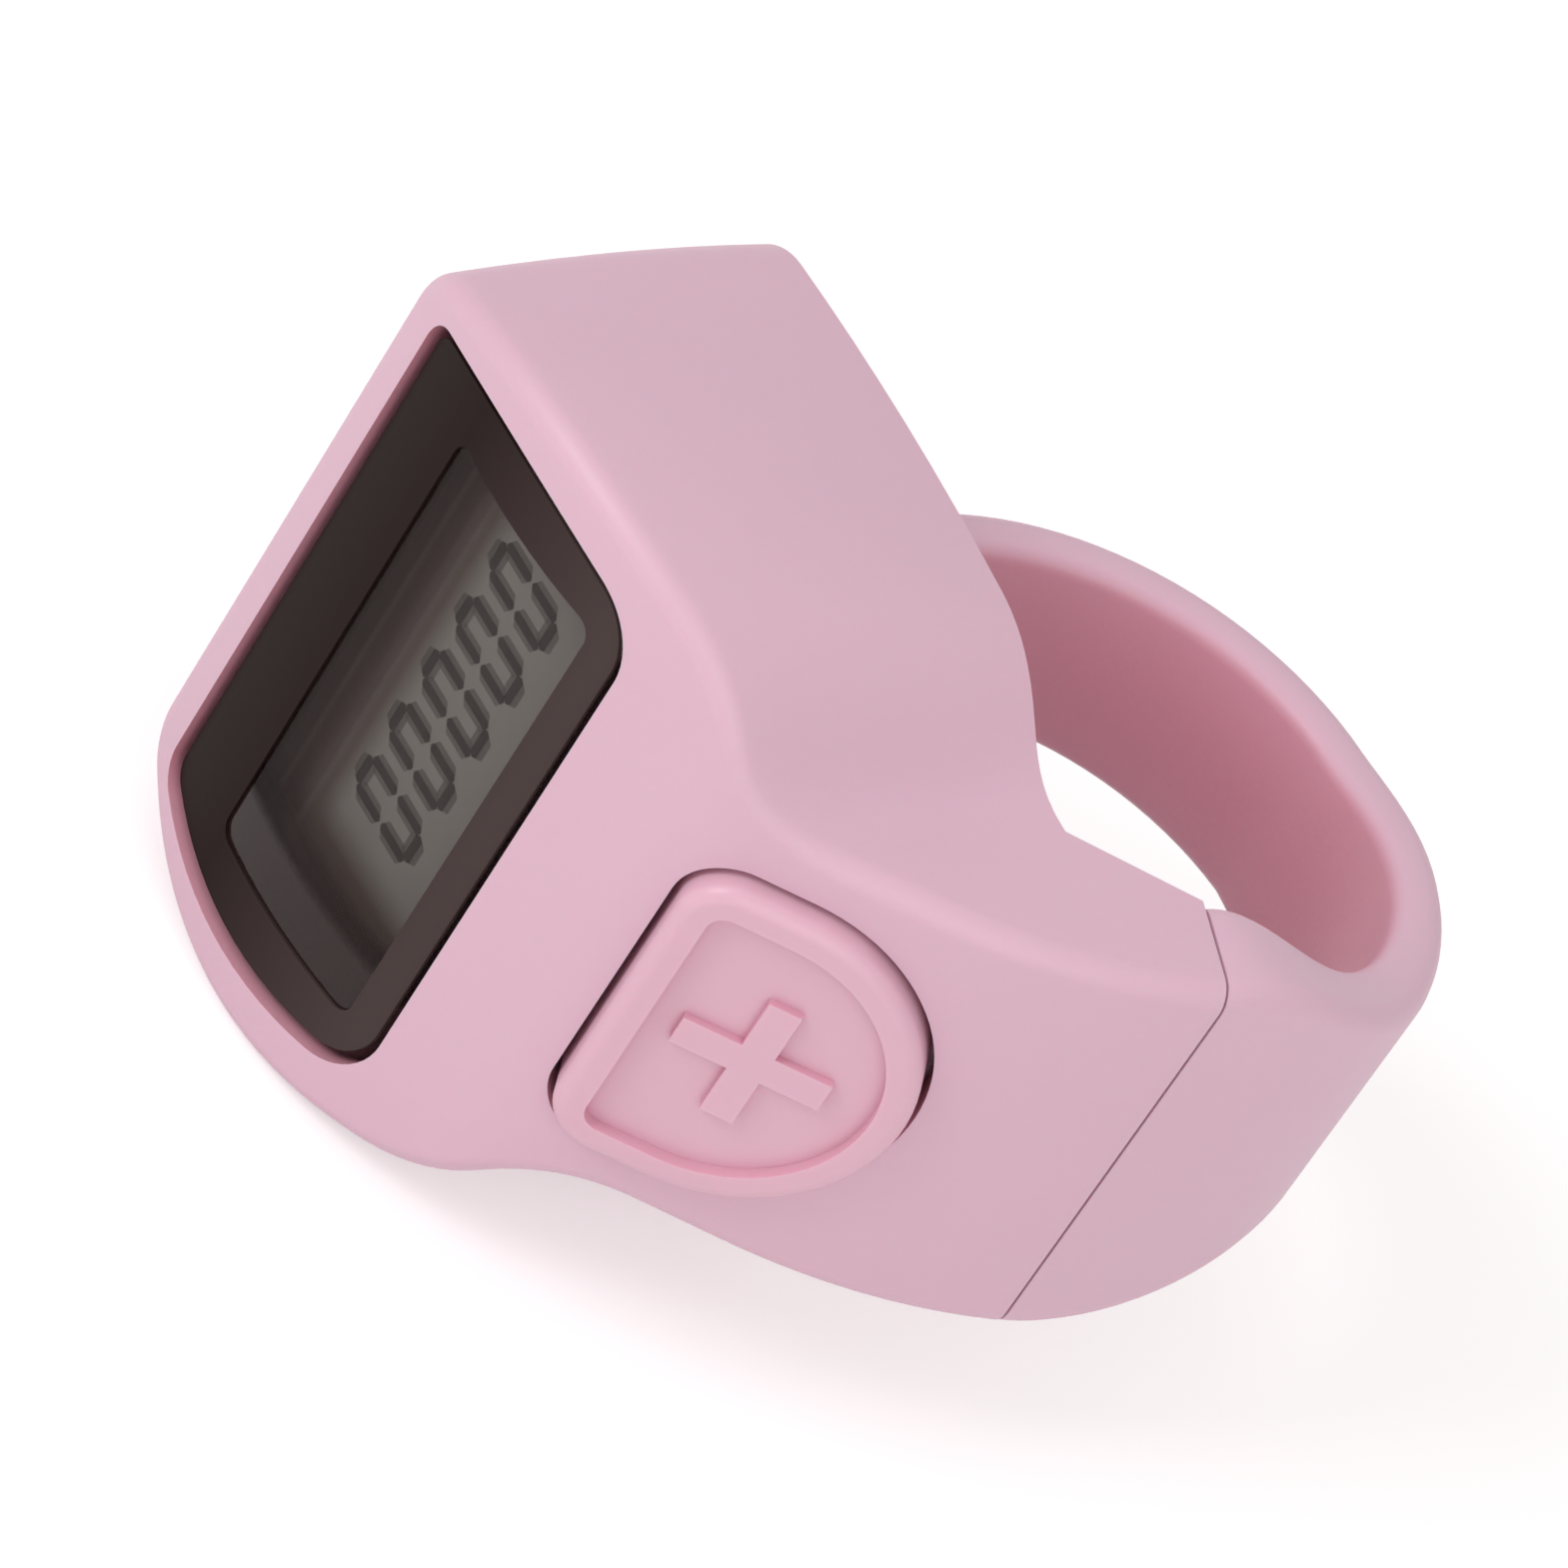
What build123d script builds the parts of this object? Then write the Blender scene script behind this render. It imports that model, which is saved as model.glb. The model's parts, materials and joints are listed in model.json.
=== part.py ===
from build123d import *
import os
from math import asin, cos, degrees, radians, sin, sqrt, tan

os.makedirs("parts", exist_ok=True)

# Digital tally counter worn as a finger ring. All lengths in millimetres, angles in degrees.
# Frame: Z is the finger axis, the display faces -Y, the press button sits on the +X side.
# The origin is the centre of the finger ring, halfway along the counter.

# Finger ring: a band of changing width that starts at the joint below the button
ring_inner_r = 10.2
band_thickness = 1.9
ring_outer_r = ring_inner_r + band_thickness
joint_angle = -19.0
joint_inner_share = 0.745
joint_outer_share = 0.942
joint_half_length = 8.15
band_half_length = 3.8
band_outer_edge_r = 0.85
band_inner_edge_r = 0.6
edge_steps = 4
seam = 0.1
# Each row: angle, share of ring_inner_r, share of ring_outer_r,
# and the share left of the extra width that the band has at the joint
hoop_start_angle = 95.0
band_shares = (
    (joint_angle, joint_inner_share, joint_outer_share, 1.0),
    (3.0, 0.827, 0.95, 0.84),
    (26.0, 0.95, 0.991, 0.42),
    (49.0, 1.0, 1.0, 0.24),
    (72.0, 1.0, 1.0, 0.13),
    (hoop_start_angle, 1.0, 1.0, 0),
)
tongue_share = 0.52

# Flat and slanted walls of the finger hole under the display and the button
hole_flat = 5.5
hole_corner_x = 4.2
plate_thickness = 1.5
case_clearance = 0.1

# Outer side profile: a shallow arc over the display, then a bend down to the button flat
display_front = 20.0
front_crest_x = -9.9
front_r = 21.5
block_side_x = -18.1
block_side_draft = 0.1
front_end_x = -3.5
shoulder_length = 3.1
bend_r = 6.0
button_tilt = 48.0
button_flat_length = 6.0

# Liquid crystal display: two glasses, the front one wider by its contact strip
lcd_depth = 2.4
lcd_glass_thickness = 0.7
lcd_left_x = -12.9
lcd_right_x = -4.85
lcd_half_length = 9.35
lcd_contact_width = 2.0
lcd_gap = 0.35
opening_corner_r = 0.8
reflector_thickness = 0.1
glass_left_x = lcd_left_x - lcd_contact_width
fit_gap = 0.1
holder_thickness = 1.5
holder_lip = 0.3
holder_left_x = glass_left_x - 2 * holder_lip
holder_right_x = lcd_right_x + fit_gap + 1.5 * holder_lip
holder_half_length = lcd_half_length + fit_gap + holder_lip
holder_window_edge = 0.6
zebra_width = 1.2
zebra_half_length = lcd_half_length - holder_lip / 2

# Display window with its lens, printed film and glue frame
window_left_x = -16.36
window_right_x = -3.47
window_margin = 2.15
window_half_length = lcd_half_length + window_margin
window_bow = 1.0
window_left_r = 1.2
window_right_r = 2.5
bezel_depth = 3.5
lens_gap = 0.1
lens_recess = 0.25
lens_thickness = 1.0
lens_edge = 0.3
mask_thickness = 0.1
tape_thickness = 0.1
mask_overlap = 0.2
clear_left_x = lcd_left_x + mask_overlap
clear_right_x = lcd_right_x - mask_overlap
clear_half_length = lcd_half_length - mask_overlap
clear_corner_r = 0.6

# Plan outline: half lengths along the finger, front to back
block_rim = 1.8
block_half_length = window_half_length + block_rim
middle_draft = 0.7
back_draft = 3.3
block_bow = 0.9
middle_bow = 0.6
back_bow = 0.05
front_side_taper = 2.75
middle_side_taper = 1.25
back_side_taper = -1.05
bow_x = -8.8
shoulder_x = -3.0
step_x = 0.45
waist_x = 3.7
waist_half_length = 8.05
corner_r = 2.2
rim_r = 0.8
back_edge = 0.3
wall = 1.5
over = 2.0

# Hollow of the case: straight walls, wider at the shoulder than at the flat side
hollow_gap = 0.25
hollow_half_length = holder_half_length + hollow_gap
hollow_shoulder = 1.0
hollow_draft = 0.6
hollow_shoulder_x = -4.5
hollow_waist_x = 2.9

# Circuit board and what is soldered to it
board_thickness = 0.8
board_left_x = holder_left_x - holder_lip / 2
board_right_x = -1.7
board_half_length = hollow_half_length - hollow_gap - fit_gap
board_chamfer = 1.2
board_screw_x = -3.0
board_screw_share = 0.47
board_screw_z = hollow_half_length * board_screw_share
board_boss_r = 1.2
chip_cover_r = 2.2
chip_cover_height = 1.1
chip_cover_slope = 0.7
chip_x = -9.6
chip_end_gap = 0.2
chip_z = hollow_half_length - chip_cover_r - chip_end_gap
quartz_r = 0.75
quartz_length = 4.6
quartz_x = -10.2
quartz_end_gap = 2.0
quartz_z = quartz_end_gap - hollow_half_length
capacitor_width = 0.9
capacitor_length = 1.6
capacitor_height = 0.8
capacitor_x = -12.1
capacitor_z = -5.6
capacitor_pitch = 1.9
capacitor_count = 3

# Screws
screw_r = 0.6
pilot_gap = 0.02
screw_hole_r = 0.8
screw_head_r = 1.2
screw_head_height = 0.7
screw_edge = 0.2
screw_head_gap = 0.1
screw_length = 4.0
small_screw_length = 3.0
slot_width = 0.3
slot_depth = 0.3
boss_r = 1.45
outer_boss_x = -14.3
screw_rim = 0.4
outer_boss_z = hollow_half_length - hollow_draft - screw_head_r - screw_head_gap - screw_rim
outer_boss_length = 6.0

# Battery and its door on the finger side
battery_r = 3.95
battery_height = 3.6
battery_cap_r = 2.9
battery_cap_height = 0.3
battery_edge = 0.15
battery_x = -3.3
battery_z = -1.2
battery_gap = 0.15
well_wall = 0.7
well_depth = 2.4
door_thickness = 1.0
door_left_x = -8.0
door_right_x = 1.4
door_low_z = -6.2
door_high_z = 6.4
door_corner_r = 1.0
door_screw_z = 4.85
door_boss_r = 1.3
door_boss_length = 2.7
door_gap = 0.1
nail_notch_length = 3.0
nail_notch_depth = 0.5
contact_thickness = 0.2
contact_width = 2.2
contact_gap = 0.05
contact_foot = 1.8
contact_rise = 1.2
leaf_length = 1.5
plus_gap = 0.1
plus_reach = 0.6

# Count button: straight side towards the display, round side towards the joint
button_centre_length = 2.6
button_r = 6.0
button_straight = 3.65
button_corner_r = 1.7
button_gap = 0.25
button_proud = 0.85
button_rim = 1.05
button_rim_r = 0.5
button_recess = 0.45
button_skin = 0.9
button_flange_depth = 2.35
button_flange = 0.65
button_flange_thickness = 0.5
button_side_clearance = 0.3
button_wall = 0.9
button_post_r = 1.6
button_travel = 0.4
plus_length = 5.0
plus_width = 1.1
plus_height = 0.3
plus_edge_r = 0.12

# Switch under the count button, on its own small tilted board
switch_offset = 0.9
switch_post_depth = 2.8
switch_top_depth = 3.25
switch_width = 4.6
switch_height = 1.1
switch_leg_width = 0.7
switch_leg_reach = 0.5
switch_leg_height = 0.25
stem_r = 0.95
stem_length = 0.7
stem_gap = 0.3
stem_floor = 0.2
switch_board_thickness = 0.6
switch_board_width = 6.4
switch_board_end_gap = 0.45
switch_board_half_length = waist_half_length - wall - switch_board_end_gap
shelf_width = 1.2
shelf_length = 4.0
shelf_height = 0.6
prop_thickness = 1.0
prop_z = 4.4
prop_left_x = 1.7
prop_right_x = 3.1
lead_r = 0.25
lead_z = 1.4
lead_start_x = -2.5
lead_rise = 1.7
lead_foot = 1.6
lead_tail = 1.0

# Reset button in the flat side of the display block
reset_y = -11.9
reset_share = 0.35
reset_z = hollow_half_length * reset_share
reset_hole_r = 1.25
reset_gap = 0.3
reset_recess = 0.3
reset_edge = 0.2
reset_flange_r = 1.55
reset_flange_thickness = 0.4
reset_travel = 0.3
reset_switch_gap = 0.6
reset_switch_length = 2.2
reset_switch_width = 3.2
reset_switch_height = 3.0
reset_stem_r = 0.5
reset_stem_length = 1.0

# Places that follow from the sizes above
front_y = -display_front
front_centre_y = front_y + front_r
flat_y = -hole_flat
plate_y = flat_y - plate_thickness
bezel_y = front_y + bezel_depth
lens_stack = lens_recess + lens_thickness + mask_thickness + tape_thickness
lcd_top_y = front_y + lcd_depth
lcd_middle_y = lcd_top_y + lcd_glass_thickness
lcd_back_y = lcd_middle_y + lcd_glass_thickness
reflector_y = lcd_back_y + reflector_thickness
board_top_y = reflector_y + holder_thickness
board_back_y = board_top_y + board_thickness
door_y = flat_y - door_thickness
battery_back_y = door_y - battery_gap
battery_front_y = battery_back_y - battery_height
zebra_x = (glass_left_x + lcd_left_x) / 2
switch_board_depth = switch_top_depth + switch_height
boss_foot_y = plate_y - case_clearance
screw_seat_y = flat_y - screw_head_height
well_hole_r = battery_r + battery_gap
pilot_r = screw_r + pilot_gap


def polar(radius, angle):
    return Vector(radius * cos(radians(angle)), radius * sin(radians(angle)), 0)


def level(y):
    """Plane across the depth of the counter; extruding from it goes towards the display."""
    return Plane.XZ.offset(-y)


def front_arc_y(x, depth=0.0):
    """Height of the display arc at x, a given depth below the outer face."""
    return front_centre_y - sqrt((front_r - depth) ** 2 - (x - front_crest_x) ** 2)


joint_outer = polar(joint_outer_share * ring_outer_r, joint_angle)
joint_inner = polar(joint_inner_share * ring_inner_r, joint_angle)
front_slope = degrees(asin((front_end_x - front_crest_x) / front_r))


# The outer side profile from the block's flat side to the joint, tangent all the way
with BuildLine() as skin_line:
    left = (block_side_x, front_arc_y(block_side_x))
    end = (front_end_x, front_arc_y(front_end_x))
    front = ThreePointArc(left, (front_crest_x, front_y), end)
    shoulder = PolarLine(front @ 1, shoulder_length, front_slope)
    bend = JernArc(shoulder @ 1, shoulder % 1, bend_r, button_tilt - front_slope)
    flat = PolarLine(bend @ 1, button_flat_length, button_tilt)
    flank = TangentArc(flat @ 1, joint_outer, tangent=flat % 1)


def plan_outline(crest, bow, taper, waist):
    """Half bowed block end, S-shaped step and straight button flank, mirrored about the middle."""
    shoulder = crest - bow
    reach = Vector(joint_outer.X + over, joint_half_length, 0)
    waist_point = Vector(waist_x, waist, 0)
    with BuildSketch() as outline:
        with BuildLine():
            end = ThreePointArc((block_side_x, crest - taper), (bow_x, crest), (shoulder_x, shoulder))
            middle = (step_x, (shoulder + waist) / 2)
            flank_way = (reach - waist_point).normalized()
            Spline(end @ 1, middle, waist_point, tangents=(end % 1, flank_way))
            Line(waist_point, reach)
            start = end @ 0
            beyond = (start.X - over, start.Y)
            Line(start, beyond)
            mirror(about=Plane.XZ)
            Line(beyond, (start.X - over, -start.Y))
            Line(reach, (reach.X, -reach.Y))
        make_face()
    return outline.sketch


def plan_solid():
    """Everything inside the plan outline, lofted from the display face to the finger side."""
    middle = block_half_length - middle_draft
    back = block_half_length - back_draft
    rows = (
        (front_y - over / 2, block_half_length, block_bow, front_side_taper, waist_half_length),
        ((front_y - over) / 2, middle, middle_bow, middle_side_taper, waist_half_length),
        (0, back, back_bow, back_side_taper, waist_half_length + case_clearance),
    )
    with BuildPart() as plan:
        for y, crest, bow, taper, waist in rows:
            with BuildSketch(level(y)):
                add(plan_outline(crest, bow, taper, waist))
        loft()
    return plan.part


def hollow_solid(inset):
    """The plan of the case's hollow: straight walls that narrow in front of the button flank."""
    back = hollow_half_length - hollow_draft
    rows = (
        (front_y - over / 2, hollow_half_length, hollow_half_length + hollow_shoulder),
        (0, back, back),
    )
    waist = waist_half_length - wall
    near_x = block_side_x - over
    far_x = joint_outer.X + over
    with BuildPart() as plan:
        for y, side, shoulder in rows:
            with BuildSketch(level(y)):
                with BuildLine():
                    Polyline((near_x, side), (hollow_shoulder_x, shoulder), (hollow_waist_x, waist), (far_x, waist))
                    mirror(about=Plane.XZ)
                    Line((near_x, side), (near_x, -side))
                    Line((far_x, waist), (far_x, -waist))
                make_face()
                if inset > 0:
                    offset(amount=-inset, kind=Kind.INTERSECTION)
        loft(ruled=True)
    return plan.part


def window_outline(grow):
    """The display window: straight long sides, bowed ends, tighter corners on the far side."""
    corner = window_half_length - window_bow
    middle_x = (window_left_x + window_right_x) / 2
    with BuildSketch() as outline:
        with BuildLine():
            low = ThreePointArc((window_left_x, -corner), (middle_x, -window_half_length), (window_right_x, -corner))
            Line(low @ 1, (window_right_x, corner))
            high = ThreePointArc((window_right_x, corner), (middle_x, window_half_length), (window_left_x, corner))
            Line(high @ 1, low @ 0)
        make_face()
        fillet(outline.vertices().sort_by(Axis.X)[:2], window_left_r)
        fillet(outline.vertices().sort_by(Axis.X)[-2:], window_right_r)
        if grow != 0:
            offset(amount=grow)
    return outline.sketch


def window_slab(top_depth, bottom_depth, grow):
    """A curved slab that follows the display arc, cut to the window outline."""
    left = window_left_x - wall
    right = window_right_x + wall
    with BuildPart() as slab:
        with BuildSketch():
            with BuildLine():
                crest = (front_crest_x, front_y + top_depth)
                root = (front_crest_x, front_y + bottom_depth)
                top = ThreePointArc((left, front_arc_y(left, top_depth)), crest, (right, front_arc_y(right, top_depth)))
                low_left = (left, front_arc_y(left, bottom_depth))
                base = ThreePointArc((right, front_arc_y(right, bottom_depth)), root, low_left)
                Line(top @ 1, base @ 0)
                Line(base @ 1, top @ 0)
            make_face()
        extrude(amount=block_half_length, both=True)
        with BuildSketch(level(bezel_y)):
            add(window_outline(grow))
        extrude(amount=bezel_depth + 2 * over, mode=Mode.INTERSECT)
    return slab.part


def button_outline(grow):
    """D shape of the count button, in the plane of the button flat."""
    with BuildSketch() as outline:
        with BuildLine():
            ThreePointArc((0, -button_r), (button_r, 0), (0, button_r))
            Polyline((0, button_r), (-button_straight, button_r), (-button_straight, -button_r), (0, -button_r))
        make_face()
        fillet(outline.vertices().sort_by(Axis.X)[:2], button_corner_r)
        if grow != 0:
            offset(amount=grow)
    return outline.sketch


def between(x_low, x_high, z_low, z_high):
    """A rectangle given by its edges, for a level plane."""
    with BuildSketch() as outline:
        with Locations(((x_low + x_high) / 2, (z_low + z_high) / 2)):
            Rectangle(x_high - x_low, abs(z_high - z_low))
    return outline.sketch


# Outer form of the front shell: side profile and plan outline meet, then the edges are rounded
with BuildPart() as form:
    with BuildSketch():
        with BuildLine():
            add(skin_line.line)
            corner = (hole_corner_x, flat_y)
            side_foot = (block_side_x + block_side_draft, flat_y)
            Polyline(flank @ 1, joint_inner, corner, side_foot, front @ 0)
        make_face()
    extrude(amount=block_half_length + over, both=True)
    add(plan_solid(), mode=Mode.INTERSECT)
    flat_side = form.faces().sort_by(Axis.X)[0]
    fillet([e for e in flat_side.edges() if abs(e.tangent_at(0).Y) > 0.9], corner_r)
    tiny = case_clearance / 2
    skin = [f for f in form.faces() if abs(f.center().Z) < tiny and f.normal_at().Y < 0]
    skin = [f for f in skin if f.center().X > block_side_x + corner_r or f.normal_at().Y < -0.5]
    rim = [e for f in skin for e in f.edges() if abs(e.center().Z) > tiny or e.center().X < window_left_x]
    fillet(rim, rim_r)
    foot = form.faces().sort_by(lambda f: abs(f.center().Y - flat_y) + abs(f.normal_at().Y - 1) * over)[0]
    chamfer([e for e in foot.edges() if e.center().X < hole_corner_x - tiny], back_edge)

flat_start = flat @ 0
flat_way = flat % 1
button_origin = flat_start + flat_way * button_centre_length
button_out = Vector(flat_way.Y, -flat_way.X, 0)
button_plane = Plane(origin=button_origin, x_dir=flat_way, z_dir=button_out)


def button_level(depth):
    """Plane parallel to the button flat, a given depth below it; extruding goes outwards."""
    return button_plane.offset(-depth)


# Hollow of the case, used to cut the front shell
with BuildPart() as hollow:
    with BuildSketch():
        with BuildLine():
            add(skin_line.line)
            beyond = (flank @ 1) + (flank % 1) * (2 * over)
            side_foot = (block_side_x + block_side_draft, over)
            Polyline(flank @ 1, beyond, (beyond.X, over), side_foot, front @ 0)
        make_face()
        offset(amount=-wall)
        with Locations((front_crest_x, front_y)):
            Rectangle(2 * front_r, 2 * bezel_depth, mode=Mode.SUBTRACT)
    extrude(amount=block_half_length + over, both=True)
    add(hollow_solid(0), mode=Mode.INTERSECT)

# Where the back cover fits: the hollow's plan and flat side, less the clearance
with BuildPart() as cover_limit:
    add(hollow_solid(case_clearance))
    with BuildSketch(level(over)):
        limit_x = block_side_x + block_side_draft + wall + case_clearance
        add(between(limit_x, joint_outer.X + over, -block_half_length, block_half_length))
    extrude(amount=display_front + over, mode=Mode.INTERSECT)

case_screw_spots = [(outer_boss_x, outer_boss_z), (outer_boss_x, -outer_boss_z)]
board_screw_spots = [(board_screw_x, board_screw_z), (board_screw_x, -board_screw_z)]

# Front shell: hollow moulding with the stepped window, button opening, screw bosses and shelves
with BuildPart() as front_shell:
    add(form.part)
    add(hollow.part, mode=Mode.SUBTRACT)
    # Screw bosses under the back cover, with webs to the walls
    with BuildSketch(level(boss_foot_y)):
        with Locations(*case_screw_spots):
            Circle(boss_r)
        for side in (1, -1):
            web_z = side * outer_boss_z
            add(between(outer_boss_x - wall / 2, outer_boss_x + wall / 2, web_z, side * block_half_length))
            add(between(block_side_x, outer_boss_x, web_z - wall / 2, web_z + wall / 2))
    extrude(amount=outer_boss_length)
    # Two posts that carry the circuit board
    with BuildSketch(level(board_top_y)):
        with Locations(*board_screw_spots):
            Circle(board_boss_r)
    extrude(amount=board_top_y - bezel_y + wall / 2)
    # Shelves on the two end walls that the switch board is pressed against
    with BuildSketch(button_level(switch_board_depth)):
        with Locations((switch_offset, waist_half_length - shelf_width), (switch_offset, shelf_width - waist_half_length)):
            Rectangle(shelf_length, 2 * shelf_width)
    extrude(amount=shelf_height)
    add(form.part, mode=Mode.INTERSECT)
    # Pilot holes
    with BuildSketch(level(boss_foot_y)):
        with Locations(*case_screw_spots):
            Circle(pilot_r)
    extrude(amount=screw_length, mode=Mode.SUBTRACT)
    with BuildSketch(level(board_top_y)):
        with Locations(*board_screw_spots):
            Circle(pilot_r)
    extrude(amount=small_screw_length - board_thickness, mode=Mode.SUBTRACT)
    # Stepped window: the opening for the glass, then the wider pocket for the lens
    with BuildSketch(level(bezel_y + over)) as glass_opening:
        add(between(glass_left_x - lcd_gap, lcd_right_x + lcd_gap, -lcd_half_length - lcd_gap, lcd_half_length + lcd_gap))
        fillet(glass_opening.vertices(), opening_corner_r)
    extrude(amount=bezel_depth + 2 * over, mode=Mode.SUBTRACT)
    add(window_slab(-over, lens_stack, 0), mode=Mode.SUBTRACT)
    # Opening for the count button
    with BuildSketch(button_level(wall + over / 2)):
        add(button_outline(button_gap))
    extrude(amount=wall + 2 * over, mode=Mode.SUBTRACT)
    # Hole for the reset button in the flat side
    with BuildSketch(Plane.YZ.offset(block_side_x - over)):
        with Locations((reset_y, reset_z)):
            Circle(reset_hole_r)
    extrude(amount=wall + 2 * over, mode=Mode.SUBTRACT)

front_shell.part.label = "front_shell"
export_step(front_shell.part, "parts/front_shell.step")


def band_section(inner_r, outer_r, half_length):
    """Cross-section of the ring band; its rounded edges are drawn as a few short flats."""
    half_thickness = (outer_r - inner_r) / 2
    points = []
    quarters = (
        (band_outer_edge_r, 1, 1),
        (band_inner_edge_r, -1, 1),
        (band_inner_edge_r, -1, -1),
        (band_outer_edge_r, 1, -1),
    )
    for quarter, (edge_r, side, end) in enumerate(quarters):
        middle = Vector(side * (half_thickness - edge_r), end * (half_length - edge_r), 0)
        for step in range(edge_steps + 1):
            points.append(middle + polar(edge_r, 90 * (quarter + step / edge_steps)))
    with BuildSketch() as section:
        with BuildLine():
            Polyline(*points, close=True)
        make_face()
    return section.sketch


def band_plane(angle, middle_r, shift):
    """Plane through the finger axis at an angle round the ring."""
    out = polar(1, angle)
    along = Vector(-out.Y, out.X, 0)
    return Plane(origin=out * middle_r + along * shift, x_dir=out, z_dir=along)


# Ring band: a loft that narrows from the joint, then a plain hoop round the back of the finger
ring_middle_r = (ring_inner_r + ring_outer_r) / 2
hoop_end_angle = 180 + degrees(asin((hole_flat + plate_thickness / 2) / ring_middle_r))
with BuildPart() as band:
    for angle, inner_share, outer_share, width_share in band_shares:
        inner_r = inner_share * ring_inner_r
        outer_r = outer_share * ring_outer_r
        length = band_half_length + (joint_half_length - band_half_length) * width_share
        shift = seam if angle == joint_angle else 0
        with BuildSketch(band_plane(angle, (inner_r + outer_r) / 2, shift)):
            add(band_section(inner_r, outer_r, length))
    loft()
    with BuildSketch(band_plane(hoop_start_angle, ring_middle_r, 0)):
        add(band_section(ring_inner_r, ring_outer_r, band_half_length))
    revolve(axis=Axis.Z, revolution_arc=hoop_end_angle - hoop_start_angle)

# Back cover: the band, the flat and slanted walls of the finger hole, and all that grows on them
diagonal = (joint_inner - Vector(hole_corner_x, flat_y, 0)).normalized()
diagonal_in = Vector(diagonal.Y, -diagonal.X, 0)
half_turn = asin(diagonal.Y) / 2
round_way = Vector(-polar(1, joint_angle).Y, polar(1, joint_angle).X, 0)
tongue_tip = joint_inner + (joint_outer - joint_inner) * tongue_share
with BuildPart() as ring_and_back_cover:
    with BuildSketch():
        with BuildLine():
            corner = Vector(hole_corner_x, flat_y, 0)
            inner_corner = Vector(hole_corner_x + plate_thickness * tan(half_turn), plate_y, 0)
            Polyline((block_side_x, flat_y), corner, joint_inner, joint_inner + diagonal_in * plate_thickness,
                     inner_corner, (block_side_x, plate_y), (block_side_x, flat_y))
        make_face()
        with BuildLine():
            root = joint_inner - round_way * plate_thickness
            Polyline(joint_inner + round_way * (2 * seam), tongue_tip + round_way * (2 * seam),
                     tongue_tip - round_way * plate_thickness, root, joint_inner + round_way * (2 * seam))
        make_face()
    extrude(amount=block_half_length, both=True)
    add(cover_limit.part, mode=Mode.INTERSECT)
    add(band.part)
    # Wall round the battery, boss for the door screw and props behind the switch board
    with BuildSketch(level(plate_y + plate_thickness / 2)):
        with Locations((battery_x, battery_z)):
            Circle(well_hole_r + well_wall)
    extrude(amount=plate_thickness / 2 + well_depth)
    with BuildSketch(level(plate_y + plate_thickness / 2)):
        with Locations((battery_x, door_screw_z)):
            Circle(door_boss_r)
    extrude(amount=plate_thickness / 2 + door_boss_length)
    with BuildSketch(level(plate_y + plate_thickness / 2)):
        for side in (1, -1):
            low_z = side * (prop_z - prop_thickness / 2)
            add(between(prop_left_x, prop_right_x, low_z, side * (prop_z + prop_thickness / 2)))
    extrude(amount=switch_board_width)
    with BuildSketch(button_level(switch_board_depth + switch_board_thickness)):
        with Locations((switch_offset, 0)):
            Rectangle(switch_board_width, 2 * switch_board_half_length)
    extrude(amount=switch_board_width, mode=Mode.SUBTRACT)
    # Pocket for the door, well for the battery, screw holes and the slot for the side contact
    with BuildSketch(level(flat_y)) as door_pocket:
        add(between(door_left_x - door_gap, door_right_x + door_gap, door_low_z - door_gap, door_high_z + door_gap))
        fillet(door_pocket.vertices(), door_corner_r + door_gap)
    extrude(amount=door_thickness, mode=Mode.SUBTRACT)
    with BuildSketch(level(flat_y)):
        with Locations((battery_x, battery_z)):
            Circle(well_hole_r)
    extrude(amount=plate_thickness + well_depth, mode=Mode.SUBTRACT)
    with BuildSketch(level(plate_y)):
        slot_left = battery_x - well_hole_r - 2 * well_wall
        slot_half = contact_width / 2 + fit_gap
        add(between(slot_left, battery_x, battery_z - slot_half, battery_z + slot_half))
    extrude(amount=well_depth, mode=Mode.SUBTRACT)
    with BuildSketch(level(flat_y)):
        with Locations((battery_x, door_screw_z)):
            Circle(pilot_r)
    extrude(amount=screw_head_height + small_screw_length, mode=Mode.SUBTRACT)
    with BuildSketch(level(flat_y)):
        with Locations(*case_screw_spots):
            Circle(screw_head_r + screw_head_gap)
    extrude(amount=screw_head_height, mode=Mode.SUBTRACT)
    with BuildSketch(level(flat_y)):
        with Locations(*case_screw_spots):
            Circle(screw_hole_r)
    extrude(amount=2 * plate_thickness, mode=Mode.SUBTRACT)

ring_and_back_cover.part.label = "ring_and_back_cover"
export_step(ring_and_back_cover.part, "parts/ring_and_back_cover.step")

# Battery door: flush with the finger hole, with a thumbnail groove and a countersunk screw
with BuildPart() as battery_cover:
    with BuildSketch(level(flat_y)) as door_face:
        add(between(door_left_x, door_right_x, door_low_z, door_high_z))
        fillet(door_face.vertices(), door_corner_r)
    extrude(amount=door_thickness)
    with BuildSketch(level(flat_y)):
        with Locations((battery_x, door_screw_z)):
            Circle(screw_head_r + screw_head_gap)
    extrude(amount=screw_head_height, mode=Mode.SUBTRACT)
    with BuildSketch(level(flat_y)):
        with Locations((battery_x, door_screw_z)):
            Circle(screw_hole_r)
    extrude(amount=door_thickness, mode=Mode.SUBTRACT)
    with BuildSketch(level(flat_y)):
        with Locations((battery_x, door_low_z + door_corner_r)):
            SlotOverall(nail_notch_length, door_corner_r)
    extrude(amount=nail_notch_depth, mode=Mode.SUBTRACT)

battery_cover.part.label = "battery_cover"
export_step(battery_cover.part, "parts/battery_cover.step")

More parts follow.
